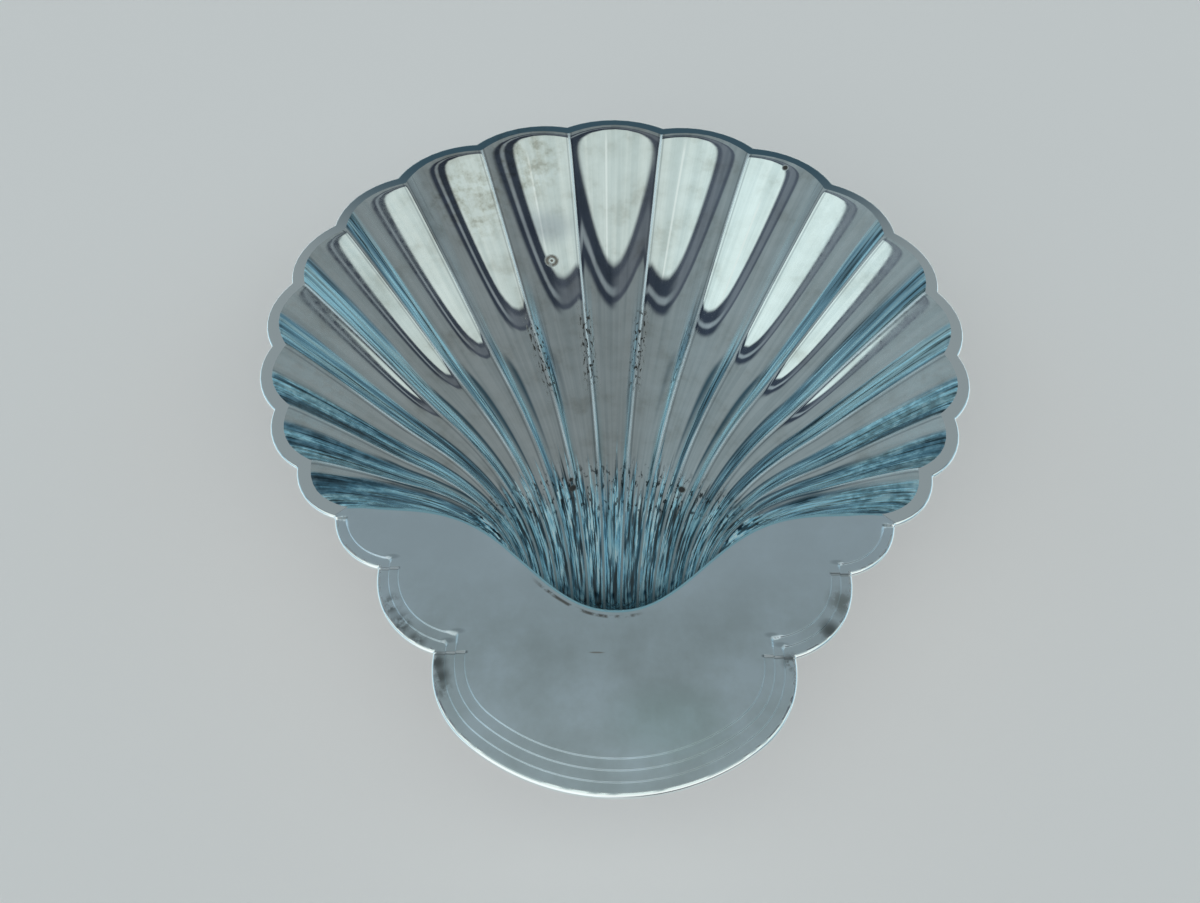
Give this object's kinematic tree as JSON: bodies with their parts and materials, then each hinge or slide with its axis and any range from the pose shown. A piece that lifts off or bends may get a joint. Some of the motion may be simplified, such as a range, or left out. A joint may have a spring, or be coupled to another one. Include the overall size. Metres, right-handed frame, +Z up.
{
  "type": "footed shell dish",
  "caption": "Shallow scallop-shell dish in bright sheet metal: fluted bowl, scalloped flat rim and a stepped tab, on small ball feet, to hold or pour a little at a time.",
  "frame": {"origin": "on the table under the middle of the dish", "axes": "+Z up, +Y from the tab towards the middle of the shell's scalloped rim, +X to the right with the tab nearest"},
  "size_m": [0.1426, 0.167, 0.0299],
  "materials": {
    "silver_sheet": "polished, with dark tarnish and fine scratches",
    "worn_silver": "turned and worn, satin",
    "soldered_silver": "filed, dull"
  },
  "bodies": {
    "root": {"shell_dish": "silver_sheet", "ball_foot_front_left": "worn_silver", "ball_foot_front_right": "worn_silver", "ball_foot_back": "worn_silver", "foot_pad_front_left": "soldered_silver", "foot_pad_front_right": "soldered_silver", "foot_pad_back": "soldered_silver"}
  },
  "joints": []
}
